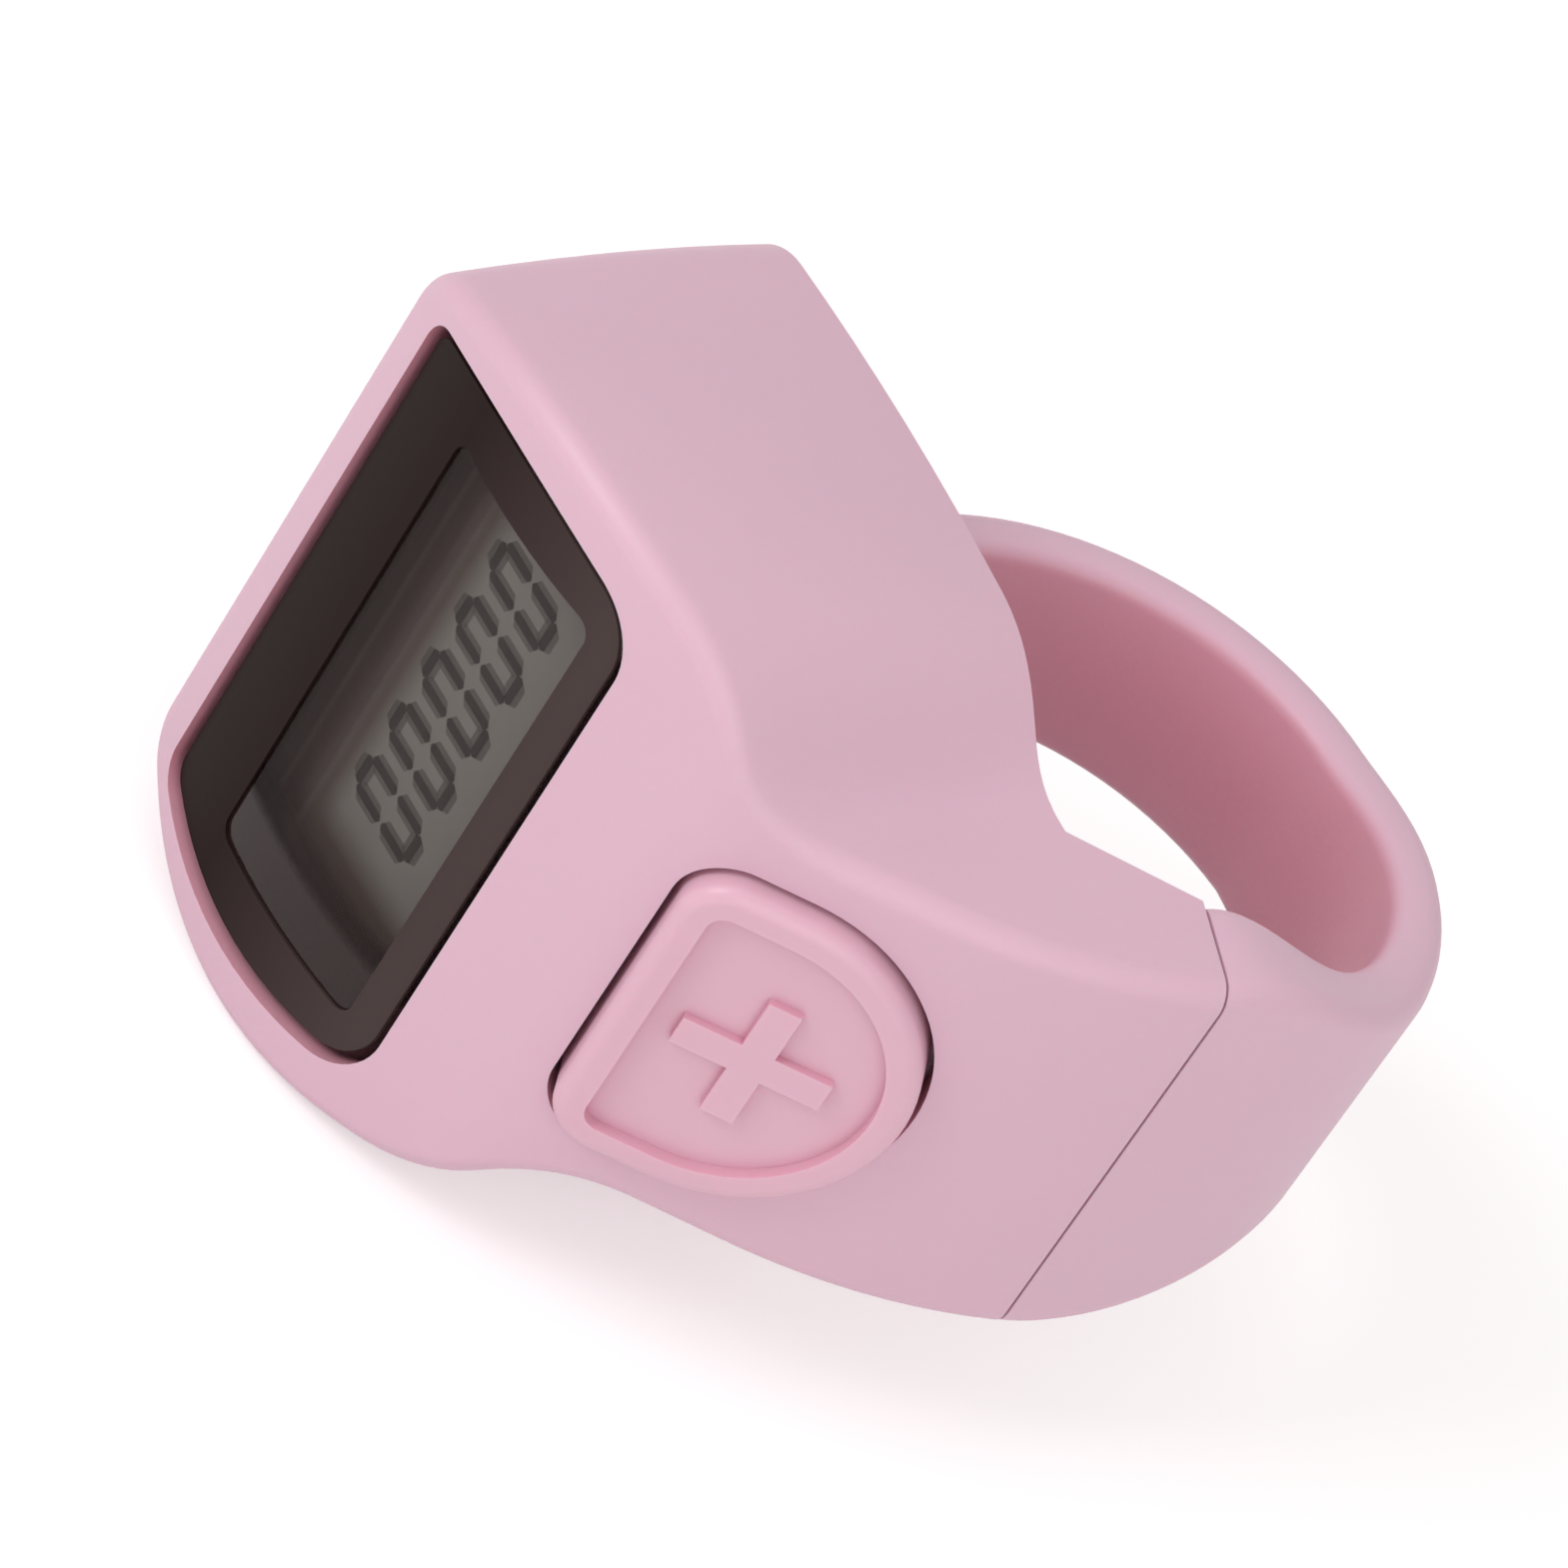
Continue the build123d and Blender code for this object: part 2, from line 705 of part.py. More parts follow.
# Battery: a button cell, its smaller cap towards the circuit board
with BuildPart() as battery:
    with BuildSketch(level(battery_back_y)):
        with Locations((battery_x, battery_z)):
            Circle(battery_r)
    extrude(amount=battery_height - battery_cap_height)
    chamfer(battery.edges().filter_by(GeomType.CIRCLE), battery_edge)
    with BuildSketch(level(battery_back_y - battery_height + battery_cap_height)):
        with Locations((battery_x, battery_z)):
            Circle(battery_cap_r)
    extrude(amount=battery_cap_height)

battery.part.label = "battery"
export_step(battery.part, "parts/battery.step")


def strip(points, width, z):
    """A bent metal strip: a line traced to its thickness, then given its width."""
    with BuildPart() as bent:
        with BuildSketch(Plane.XY.offset(z - width / 2)):
            with BuildLine():
                Polyline(*points)
            trace(line_width=contact_thickness)
        extrude(amount=width)
    return bent.part


foot_y = board_back_y + contact_thickness / 2
side_x = battery_x - battery_r - plus_gap - contact_thickness / 2
with BuildPart() as battery_contact_plus:
    add(strip([(side_x - contact_foot, foot_y), (side_x, foot_y), (side_x, plate_y - plus_reach)], contact_width, battery_z))

battery_contact_plus.part.label = "battery_contact_plus"
export_step(battery_contact_plus.part, "parts/battery_contact_plus.step")

leaf_y = battery_front_y - contact_gap - contact_thickness / 2
with BuildPart() as battery_contact_minus:
    leaf_x = battery_x
    rise_x = leaf_x - contact_rise
    add(strip([(rise_x - contact_foot, foot_y), (rise_x, foot_y), (leaf_x, leaf_y), (leaf_x + leaf_length, leaf_y)],
              contact_width, battery_z))

battery_contact_minus.part.label = "battery_contact_minus"
export_step(battery_contact_minus.part, "parts/battery_contact_minus.step")


def screw(x, z, seat_y, length):
    """A small pan-head screw with a slot; its head sits on the seat and faces the finger."""
    with BuildPart() as body:
        with BuildSketch(level(seat_y)):
            with Locations((x, z)):
                Circle(screw_r)
        extrude(amount=length)
        with BuildSketch(level(seat_y + screw_head_height)):
            with Locations((x, z)):
                Circle(screw_head_r)
        extrude(amount=screw_head_height)
        chamfer(body.edges().sort_by(Axis.Y)[-1], screw_edge)
        with BuildSketch(level(seat_y + screw_head_height)):
            with Locations((x, z)):
                Rectangle(2 * screw_head_r, slot_width)
        extrude(amount=slot_depth, mode=Mode.SUBTRACT)
    return body.part


with BuildPart() as battery_cover_screw:
    add(screw(battery_x, door_screw_z, screw_seat_y, small_screw_length))

battery_cover_screw.part.label = "battery_cover_screw"
export_step(battery_cover_screw.part, "parts/battery_cover_screw.step")

with BuildPart() as case_screw_1:
    add(screw(outer_boss_x, outer_boss_z, screw_seat_y, screw_length))

case_screw_1.part.label = "case_screw_1"
export_step(case_screw_1.part, "parts/case_screw_1.step")

with BuildPart() as case_screw_2:
    add(screw(outer_boss_x, -outer_boss_z, screw_seat_y, screw_length))

case_screw_2.part.label = "case_screw_2"
export_step(case_screw_2.part, "parts/case_screw_2.step")

with BuildPart() as board_screw_1:
    add(screw(board_screw_x, board_screw_z, board_back_y, small_screw_length))

board_screw_1.part.label = "board_screw_1"
export_step(board_screw_1.part, "parts/board_screw_1.step")

with BuildPart() as board_screw_2:
    add(screw(board_screw_x, -board_screw_z, board_back_y, small_screw_length))

board_screw_2.part.label = "board_screw_2"
export_step(board_screw_2.part, "parts/board_screw_2.step")

# Display window: a printed film on a curved lens with a sloped front edge, and its glue frame
lens_depth = lens_recess + mask_thickness
with BuildPart() as display_mask:
    add(window_slab(lens_recess, lens_depth, -lens_gap - lens_edge))
    with BuildSketch(level(bezel_y)) as clear_area:
        add(between(clear_left_x, clear_right_x, -clear_half_length, clear_half_length))
        fillet(clear_area.vertices(), clear_corner_r)
    extrude(amount=bezel_depth, mode=Mode.SUBTRACT)

display_mask.part.label = "display_mask"
export_step(display_mask.part, "parts/display_mask.step")

with BuildPart() as display_lens:
    add(window_slab(lens_depth, lens_depth + lens_thickness, -lens_gap))
    lens_front = display_lens.faces().sort_by(Axis.Y)[0]
    chamfer(lens_front.edges(), lens_edge)

display_lens.part.label = "display_lens"
export_step(display_lens.part, "parts/display_lens.step")

with BuildPart() as lens_tape:
    add(window_slab(lens_depth + lens_thickness, lens_stack, -lens_gap))
    with BuildSketch(level(bezel_y)) as tape_opening:
        add(between(glass_left_x - lcd_gap, lcd_right_x + lcd_gap, -lcd_half_length - lcd_gap, lcd_half_length + lcd_gap))
        fillet(tape_opening.vertices(), opening_corner_r)
    extrude(amount=bezel_depth, mode=Mode.SUBTRACT)

lens_tape.part.label = "lens_tape"
export_step(lens_tape.part, "parts/lens_tape.step")

# Liquid crystal display: front glass with a contact strip, rear glass, reflector foil
with BuildPart() as lcd_front_glass:
    with BuildSketch(level(lcd_middle_y)):
        add(between(glass_left_x, lcd_right_x, -lcd_half_length, lcd_half_length))
    extrude(amount=lcd_glass_thickness)

lcd_front_glass.part.label = "lcd_front_glass"
export_step(lcd_front_glass.part, "parts/lcd_front_glass.step")

with BuildPart() as lcd_rear_glass:
    with BuildSketch(level(lcd_back_y)):
        add(between(lcd_left_x, lcd_right_x, -lcd_half_length, lcd_half_length))
    extrude(amount=lcd_glass_thickness)

lcd_rear_glass.part.label = "lcd_rear_glass"
export_step(lcd_rear_glass.part, "parts/lcd_rear_glass.step")

with BuildPart() as lcd_reflector:
    with BuildSketch(level(reflector_y)):
        add(between(lcd_left_x, lcd_right_x, -lcd_half_length, lcd_half_length))
    extrude(amount=reflector_thickness)

lcd_reflector.part.label = "lcd_reflector"
export_step(lcd_reflector.part, "parts/lcd_reflector.step")

# Holder frame: carries the glass on its rim and the rubber connector in a slot
with BuildPart() as lcd_holder:
    with BuildSketch(level(board_top_y)):
        add(between(holder_left_x, holder_right_x, -holder_half_length, holder_half_length))
    extrude(amount=holder_thickness + holder_lip)
    with BuildSketch(level(reflector_y)):
        glass_low = -lcd_half_length - fit_gap
        add(between(lcd_left_x - fit_gap, lcd_right_x + fit_gap, glass_low, -glass_low))
    extrude(amount=holder_lip, mode=Mode.SUBTRACT)
    with BuildSketch(level(board_top_y)):
        zebra_half = zebra_width / 2 + fit_gap
        add(between(zebra_x - zebra_half, zebra_x + zebra_half, -zebra_half_length - fit_gap, zebra_half_length + fit_gap))
        window_half = lcd_half_length - holder_window_edge
        add(between(lcd_left_x + holder_window_edge, lcd_right_x - holder_window_edge, -window_half, window_half))
    extrude(amount=holder_thickness + holder_lip, mode=Mode.SUBTRACT)

lcd_holder.part.label = "lcd_holder"
export_step(lcd_holder.part, "parts/lcd_holder.step")

with BuildPart() as zebra_strip:
    with BuildSketch(level(board_top_y)):
        add(between(zebra_x - zebra_width / 2, zebra_x + zebra_width / 2, -zebra_half_length, zebra_half_length))
    extrude(amount=board_top_y - lcd_middle_y)

zebra_strip.part.label = "zebra_strip"
export_step(zebra_strip.part, "parts/zebra_strip.step")

# Circuit board with the parts on its back
with BuildPart() as circuit_board:
    with BuildSketch(level(board_back_y)) as board_face:
        add(between(board_left_x, board_right_x, -board_half_length, board_half_length))
        chamfer(board_face.vertices().sort_by(Axis.X)[-2:], board_chamfer)
        with Locations(*board_screw_spots):
            Circle(screw_hole_r, mode=Mode.SUBTRACT)
    extrude(amount=board_thickness)

circuit_board.part.label = "circuit_board"
export_step(circuit_board.part, "parts/circuit_board.step")

with BuildPart() as chip_cover:
    with BuildSketch(level(board_back_y + chip_cover_height)):
        with Locations((chip_x, chip_z)):
            Circle(chip_cover_r)
    extrude(amount=chip_cover_height)
    chamfer(chip_cover.edges().sort_by(Axis.Y)[-1], chip_cover_slope)

chip_cover.part.label = "chip_cover"
export_step(chip_cover.part, "parts/chip_cover.step")

with BuildPart() as quartz:
    with BuildSketch(Plane.YZ.offset(quartz_x - quartz_length / 2)):
        with Locations((board_back_y + quartz_r, quartz_z)):
            Circle(quartz_r)
    extrude(amount=quartz_length)

quartz.part.label = "quartz"
export_step(quartz.part, "parts/quartz.step")

for number in range(capacitor_count):
    with BuildPart() as capacitor:
        with BuildSketch(level(board_back_y + capacitor_height)):
            with Locations((capacitor_x + number * capacitor_pitch, capacitor_z)):
                Rectangle(capacitor_width, capacitor_length)
        extrude(amount=capacitor_height)
    capacitor.part.label = f"capacitor_{number + 1}"
    export_step(capacitor.part, f"parts/capacitor_{number + 1}.step")

# Count button: a D-shaped cap with a raised rim, a plus sign, a skirt with catches and a post
with BuildPart() as count_button:
    with BuildSketch(button_level(button_flange_depth + button_flange_thickness)):
        add(button_outline(0))
    extrude(amount=button_flange_depth + button_flange_thickness + button_proud)
    top = count_button.faces().sort_by(lambda f: -Vector(f.center()).dot(button_out))[0]
    fillet(top.edges(), button_rim_r)
    with BuildSketch(button_level(-button_proud)):
        add(button_outline(-button_rim))
    extrude(amount=-button_recess, mode=Mode.SUBTRACT)
    panel_depth = button_recess - button_proud
    with BuildSketch(button_level(panel_depth)):
        with Locations((switch_offset, 0)):
            Rectangle(plus_length, plus_width)
            Rectangle(plus_width, plus_length)
    extrude(amount=plus_height)
    with BuildSketch(button_level(button_flange_depth + button_flange_thickness)):
        add(button_outline(button_flange))
        inside_half = waist_half_length - wall - button_side_clearance
        Rectangle(4 * button_r, 2 * inside_half, mode=Mode.INTERSECT)
    extrude(amount=button_flange_thickness)
    skirt_depth = button_flange_depth + button_flange_thickness
    with BuildSketch(button_level(skirt_depth)):
        add(button_outline(-button_wall))
    extrude(amount=skirt_depth - panel_depth - button_skin, mode=Mode.SUBTRACT)
    with BuildSketch(button_level(switch_post_depth)):
        with Locations((switch_offset, 0)):
            Circle(button_post_r)
    extrude(amount=switch_post_depth - panel_depth - button_skin / 2)

count_button.part.label = "count_button"
export_step(count_button.part, "parts/count_button.step")

# Switch below the button: plunger, housing with four legs, small board and two wires
stem_end_depth = switch_post_depth + stem_length
with BuildPart() as count_switch_stem:
    with BuildSketch(button_level(stem_end_depth)):
        with Locations((switch_offset, 0)):
            Circle(stem_r)
    extrude(amount=stem_length)

count_switch_stem.part.label = "count_switch_stem"
export_step(count_switch_stem.part, "parts/count_switch_stem.step")

with BuildPart() as count_switch:
    with BuildSketch(button_level(switch_board_depth)):
        with Locations((switch_offset, 0)):
            Rectangle(switch_width, switch_width)
    extrude(amount=switch_height)
    with BuildSketch(button_level(switch_board_depth)):
        with Locations((switch_offset, 0)):
            with GridLocations(switch_width, switch_width - 2 * switch_leg_width, 2, 2):
                Rectangle(2 * switch_leg_reach, switch_leg_width)
    extrude(amount=switch_leg_height)
    with BuildSketch(button_level(switch_board_depth - stem_floor)):
        with Locations((switch_offset, 0)):
            Circle(stem_r + stem_gap)
    extrude(amount=switch_height, mode=Mode.SUBTRACT)

count_switch.part.label = "count_switch"
export_step(count_switch.part, "parts/count_switch.step")

with BuildPart() as switch_board:
    with BuildSketch(button_level(switch_board_depth + switch_board_thickness)):
        with Locations((switch_offset, 0)):
            Rectangle(switch_board_width, 2 * switch_board_half_length)
    extrude(amount=switch_board_thickness)

switch_board.part.label = "switch_board"
export_step(switch_board.part, "parts/switch_board.step")

lead_end = button_level(switch_board_depth + switch_board_thickness).from_local_coords((-lead_foot, 0, 0))
for number, side in ((1, 1), (2, -1)):
    z = side * lead_z
    start = Vector(lead_start_x, board_back_y, z)
    end = Vector(lead_end.X, lead_end.Y, z)
    with BuildPart() as switch_lead:
        with BuildLine() as lead_line:
            Polyline(start, start + Vector(0, lead_rise, 0), end - button_out * lead_tail, end)
        with BuildSketch(Plane(origin=start, x_dir=(1, 0, 0), z_dir=(0, 1, 0))):
            Circle(lead_r)
        sweep(transition=Transition.RIGHT)
    switch_lead.part.label = f"switch_lead_{number}"
    export_step(switch_lead.part, f"parts/switch_lead_{number}.step")

# Reset button: a pin through the flat side, with a flange inside and its own switch
side_top_y = front_arc_y(block_side_x)
side_share = (reset_y - side_top_y) / (flat_y - side_top_y)
side_out_x = block_side_x + block_side_draft * side_share
reset_tip_x = side_out_x + reset_recess
reset_flange_x = side_out_x + wall + reset_gap
reset_back_x = reset_flange_x + reset_flange_thickness
with BuildPart() as reset_button:
    with BuildSketch(Plane.YZ.offset(reset_tip_x)):
        with Locations((reset_y, reset_z)):
            Circle(reset_hole_r - reset_gap)
    extrude(amount=reset_back_x - reset_tip_x)
    chamfer(reset_button.edges().sort_by(Axis.X)[0], reset_edge)
    with BuildSketch(Plane.YZ.offset(reset_flange_x)):
        with Locations((reset_y, reset_z)):
            Circle(reset_flange_r)
    extrude(amount=reset_flange_thickness)

reset_button.part.label = "reset_button"
export_step(reset_button.part, "parts/reset_button.step")

reset_switch_x = reset_back_x + reset_switch_gap
with BuildPart() as reset_switch_stem:
    with BuildSketch(Plane.YZ.offset(reset_back_x)):
        with Locations((reset_y, reset_z)):
            Circle(reset_stem_r)
    extrude(amount=reset_stem_length)

reset_switch_stem.part.label = "reset_switch_stem"
export_step(reset_switch_stem.part, "parts/reset_switch_stem.step")

with BuildPart() as reset_switch:
    with BuildSketch(level(board_back_y + reset_switch_height)):
        low_z = reset_z - reset_switch_width / 2
        add(between(reset_switch_x, reset_switch_x + reset_switch_length, low_z, low_z + reset_switch_width))
    extrude(amount=reset_switch_height)
    with BuildSketch(Plane.YZ.offset(reset_switch_x)):
        with Locations((reset_y, reset_z)):
            Circle(reset_stem_r + stem_gap)
    extrude(amount=reset_stem_length + reset_travel, mode=Mode.SUBTRACT)

reset_switch.part.label = "reset_switch"
export_step(reset_switch.part, "parts/reset_switch.step")
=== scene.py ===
import json
import math

import bmesh
import bpy
from mathutils import Matrix, Vector

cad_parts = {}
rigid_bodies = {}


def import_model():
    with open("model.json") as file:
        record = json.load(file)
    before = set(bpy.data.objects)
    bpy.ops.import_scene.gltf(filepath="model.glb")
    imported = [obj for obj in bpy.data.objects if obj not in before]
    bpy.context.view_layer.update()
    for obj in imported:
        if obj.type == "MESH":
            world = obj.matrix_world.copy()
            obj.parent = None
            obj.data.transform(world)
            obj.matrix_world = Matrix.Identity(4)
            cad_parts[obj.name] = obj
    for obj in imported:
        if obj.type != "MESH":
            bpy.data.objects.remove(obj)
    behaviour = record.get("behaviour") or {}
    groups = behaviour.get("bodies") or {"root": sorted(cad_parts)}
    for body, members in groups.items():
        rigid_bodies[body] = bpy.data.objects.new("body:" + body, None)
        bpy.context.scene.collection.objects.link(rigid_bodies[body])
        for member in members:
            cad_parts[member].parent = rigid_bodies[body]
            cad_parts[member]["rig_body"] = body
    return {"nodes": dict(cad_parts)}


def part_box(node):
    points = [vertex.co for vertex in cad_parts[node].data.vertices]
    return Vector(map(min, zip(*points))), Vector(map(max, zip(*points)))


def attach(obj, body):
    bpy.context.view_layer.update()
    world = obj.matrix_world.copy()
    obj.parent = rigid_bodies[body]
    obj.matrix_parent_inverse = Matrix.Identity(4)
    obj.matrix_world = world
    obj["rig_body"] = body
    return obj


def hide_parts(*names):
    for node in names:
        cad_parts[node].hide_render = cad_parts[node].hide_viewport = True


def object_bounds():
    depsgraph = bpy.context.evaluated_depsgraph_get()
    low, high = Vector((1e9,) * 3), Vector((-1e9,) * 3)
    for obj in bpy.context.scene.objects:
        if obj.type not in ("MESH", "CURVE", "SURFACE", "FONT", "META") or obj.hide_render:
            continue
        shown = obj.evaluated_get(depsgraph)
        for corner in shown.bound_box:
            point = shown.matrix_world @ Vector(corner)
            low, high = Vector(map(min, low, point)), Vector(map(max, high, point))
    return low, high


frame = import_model()
cad_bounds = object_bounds()
nodes = frame["nodes"]

# Housing: the front moulding, the ring with its back wall, and the battery door.
# ABS, injection moulded in one pink from a spark-eroded tool.
# The two halves meet in a fine joint line.
drift_size = 0.009
crease_angle = math.radians(30)
weld_distance = 1e-6
mm_per_m = 1000


def linear(code):
    """sRGB hex to a linear RGBA colour."""
    parts = [int(code[i:i + 2], 16) / 255 for i in (1, 3, 5)]
    return [c / 12.92 if c <= 0.04045 else ((c + 0.055) / 1.055) ** 2.4 for c in parts] + [1.0]


def empty_tree(owner):
    """The node tree of a material or a world, cleared of the nodes that it starts with."""
    owner.use_nodes = True
    owner.node_tree.nodes.clear()
    return owner.node_tree


def add(tree, kind, values=None):
    """Adds one node. A value is a socket to link from, the value of an input or a property."""
    node = tree.nodes.new(kind)
    for key, value in (values or {}).items():
        if isinstance(value, bpy.types.NodeSocket):
            tree.links.new(value, node.inputs[key])
        elif isinstance(key, int) or key in node.inputs:
            node.inputs[key].default_value = value
        else:
            setattr(node, key, value)
    return node


def blend(tree, share, first, second):
    """A colour between two others, each a socket or a plain colour."""
    return add(tree, "ShaderNodeMix",
               {"data_type": "RGBA", 0: share, 6: first, 7: second}).outputs[2]


def fade(tree, value, start, end, low=0.0, high=1.0):
    """A number that runs from low to high while the given value runs from start to end."""
    return add(tree, "ShaderNodeMapRange", {"From Min": start, "From Max": end, "To Min": low,
                                            "To Max": high, 0: value}).outputs[0]


def finish(name, colour, drift_colour, grain_mm, depth_mm, shader):
    """A material whose colour drifts from place to place, under a grain of a real size."""
    material = bpy.data.materials.new(name)
    tree = empty_tree(material)
    place = add(tree, "ShaderNodeTexCoord").outputs["Object"]
    drift = add(tree, "ShaderNodeTexNoise",
                {"Scale": 1 / drift_size, "Detail": 2.0, "Vector": place})
    colours = blend(tree, drift.outputs["Fac"], linear(colour), linear(drift_colour))
    grain = add(tree, "ShaderNodeTexNoise",
                {"Scale": mm_per_m / grain_mm, "Detail": 3.0, "Vector": place})
    relief = add(tree, "ShaderNodeBump",
                 {"Distance": depth_mm / mm_per_m, "Height": grain.outputs["Fac"]})
    base = add(tree, "ShaderNodeBsdfPrincipled",
               {**shader, "Base Color": colours, "Normal": relief.outputs[0]})
    add(tree, "ShaderNodeOutputMaterial", {"Surface": base.outputs[0]})
    return material


def shader_of(material):
    """The node tree of a finished material, and the shader in it."""
    tree = material.node_tree
    return tree, next(node for node in tree.nodes if node.type == "BSDF_PRINCIPLED")


def put(name, data):
    """A new object in the scene, which holds a mesh, a lamp or a camera."""
    thing = bpy.data.objects.new(name, data)
    bpy.context.scene.collection.objects.link(thing)
    return thing


def dress(node, material):
    """A merged copy of a CAD piece, shaded smooth between its sharp edges."""
    source = nodes[node]
    mesh = source.data.copy()
    mesh.name = node + "_skin"
    mesh.materials.clear()
    mesh.materials.append(material)
    work = bmesh.new()
    work.from_mesh(mesh)
    bmesh.ops.remove_doubles(work, verts=work.verts, dist=weld_distance)
    for face in work.faces:
        face.smooth = True
    for edge in work.edges:
        edge.smooth = not edge.is_manifold or edge.calc_face_angle(0) < crease_angle
    work.to_mesh(mesh)
    work.free()
    piece = put(node + "_skin", mesh)
    for layer in list(mesh.attributes):
        if layer.name == "custom_normal":
            mesh.attributes.remove(layer)
    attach(piece, source["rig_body"])
    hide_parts(node)
    return piece


# Spark-eroded ABS: its grain, drawn four times coarser than the real 0.03 mm, spreads highlights.
soft_glow = {"IOR": 1.53, "Subsurface Weight": 0.3, "Subsurface Radius": (1.0, 0.4, 0.4),
             "Subsurface Scale": 0.0006}
housing_abs = finish("spark_eroded_abs", "#DEB7C7", "#DBB3C4", grain_mm=0.12, depth_mm=0.003,
                     shader={"Roughness": 0.48, **soft_glow})
# Stoned tool: the two buttons are a little glossier, so their edges catch the light.
button_abs = finish("stoned_tool_abs", "#E1B5C5", "#DEB1C2", grain_mm=0.2, depth_mm=0.002,
                    shader={"Roughness": 0.38, **soft_glow})
# Painted shade: where walls close in, as inside the ring, the base colour turns the deeper red of
# light bounced between pink walls.
sky_reach = 0.03
sky_rays = 8
closed_in = 0.15
wide_open = 0.8
for plastic, painted_shade_colour in ((housing_abs, "#CB5F70"), (button_abs, "#DB9DB2")):
    tree, shader = shader_of(plastic)
    open_colour = shader.inputs["Base Color"].links[0].from_socket
    sky = add(tree, "ShaderNodeAmbientOcclusion",
              {"samples": sky_rays, "only_local": True, "Distance": sky_reach})
    open_share = fade(tree, sky.outputs["AO"], closed_in, wide_open)
    tree.links.new(blend(tree, open_share, linear(painted_shade_colour), open_colour),
                   shader.inputs["Base Color"])
for name in ("front_shell", "ring_and_back_cover", "battery_cover"):
    dress(name, housing_abs)

# Count button: a cap of the same ABS with a raised rim and a plus sign, snapped in from inside.
# The reset button is a small pin of the same make, sunk in the flat side.
dress("count_button", button_abs)
dress("reset_button", button_abs)

# Display window: a curved lens of smoked acrylic, screen-printed round its clear area.
# A die-cut foam tape under its edge holds it in the recess of the housing.


def coordinates(tree):
    """The object's own X, Y and Z in the tree of a finished material."""
    place = next(node for node in tree.nodes if node.type == "TEX_COORD").outputs["Object"]
    return tuple(add(tree, "ShaderNodeSeparateXYZ", {0: place}).outputs)


def reckon(tree, operation, first, second):
    """One arithmetic step on two values, each a socket or a plain number."""
    return add(tree, "ShaderNodeMath", {"operation": operation, 0: first, 1: second}).outputs[0]


# Cast acrylic: smoky with a hard gloss, and darker on its far side and towards its lower end.
smoked_acrylic = finish("smoked_acrylic", "#2C1E1D", "#302120", grain_mm=6.0, depth_mm=0.0005,
                        shader={"Roughness": 0.1, "IOR": 1.49, "Specular IOR Level": 0.3})
clear_from_x = -0.0132
clear_from_z = -0.0068
tint_fade = 0.0005
dark_cover = 0.85
clear_cover = 0.3
tree, shader = shader_of(smoked_acrylic)
x, y, z = coordinates(tree)
past_left = fade(tree, x, clear_from_x - tint_fade, clear_from_x)
past_low = fade(tree, z, clear_from_z - tint_fade, clear_from_z)
clear = reckon(tree, "MULTIPLY", past_left, past_low)
tree.links.new(fade(tree, clear, 0.0, 1.0, dark_cover, clear_cover), shader.inputs["Alpha"])
dress("display_lens", smoked_acrylic)
# Screen print under a satin hard coat: dark brown, with painted light that lifts it towards the
# button side.
screen_print = finish("screen_print_on_film", "#231615", "#261918", grain_mm=6.0, depth_mm=0.0005,
                      shader={"Roughness": 0.3, "IOR": 1.5, "Specular IOR Level": 0.03})
painted_light_colour = linear("#4C403F")
light_from_x = -0.0125
light_to_x = -0.0045
tree, shader = shader_of(screen_print)
x, y, z = coordinates(tree)
# Painted reflection and shade: the brown is lighter towards the button side and darker at its far
# side.
light_share = fade(tree, x, light_from_x, light_to_x)
print_colour = shader.inputs["Base Color"].links[0].from_socket
tree.links.new(blend(tree, light_share, print_colour, painted_light_colour), shader.inputs["Base Color"])
dress("display_mask", screen_print)
# Acrylic foam: dead black, with open pores that swallow the light.
foam_tape = finish("acrylic_foam_tape", "#161414", "#1B1818", grain_mm=0.15, depth_mm=0.01,
                   shader={"Roughness": 0.9})
dress("lens_tape", foam_tape)

# Display: two thin glasses with the liquid crystal between them, over a grey foil.
# They rest in the holder and press on the rubber connector.
# Polariser on the front glass: one dull grey-green sheet, brown in faint bands on its far side
# and at its lower end.
polariser = finish("polariser_on_glass", "#C9C5BB", "#BCB8AF", grain_mm=2.5, depth_mm=0.0005,
                   shader={"Roughness": 0.45, "IOR": 1.5})
brown_from_x = -0.0149
brown_to_x = -0.0106
brown_end_z = -0.0066
brown_fade = 0.0007
brown_tones = {0.0: "#655250", 0.36: "#7A6664", 0.40: "#92817A", 0.45: "#7E6A68",
              0.66: "#826F6B", 0.70: "#93857D", 0.76: "#897970"}
brown_thins_from = 0.78
tree, shader = shader_of(polariser)
x, y, z = coordinates(tree)
across = fade(tree, x, brown_from_x, brown_to_x)
strip = add(tree, "ShaderNodeValToRGB", {0: across})
while len(strip.color_ramp.elements) < len(brown_tones):
    strip.color_ramp.elements.new(1.0)
for stop, (share, code) in zip(strip.color_ramp.elements, brown_tones.items()):
    stop.position = share
    stop.color = linear(code)
past_strip = fade(tree, across, brown_thins_from, 1.0)
past_end = fade(tree, z, brown_end_z - brown_fade, brown_end_z + brown_fade)
free = reckon(tree, "MULTIPLY", past_strip, past_end)
ground = shader.inputs["Base Color"].links[0].from_socket
tree.links.new(blend(tree, free, strip.outputs[0], ground), shader.inputs["Base Color"])
dress("lcd_front_glass", polariser)
# Float glass: almost clear, with a faint green cast.
display_glass = finish("float_glass", "#A3A79D", "#9FA399", grain_mm=8.0, depth_mm=0.0005,
                       shader={"Roughness": 0.1, "IOR": 1.52, "Alpha": 0.15})
dress("lcd_rear_glass", display_glass)
# Frosted foil: bright but dull, so it throws the light back evenly.
reflector_foil = finish("frosted_reflector_foil", "#B4B4A8", "#AAAA9E", grain_mm=1.5,
                        depth_mm=0.001, shader={"Roughness": 0.5, "Metallic": 0.8})
dress("lcd_reflector", reflector_foil)

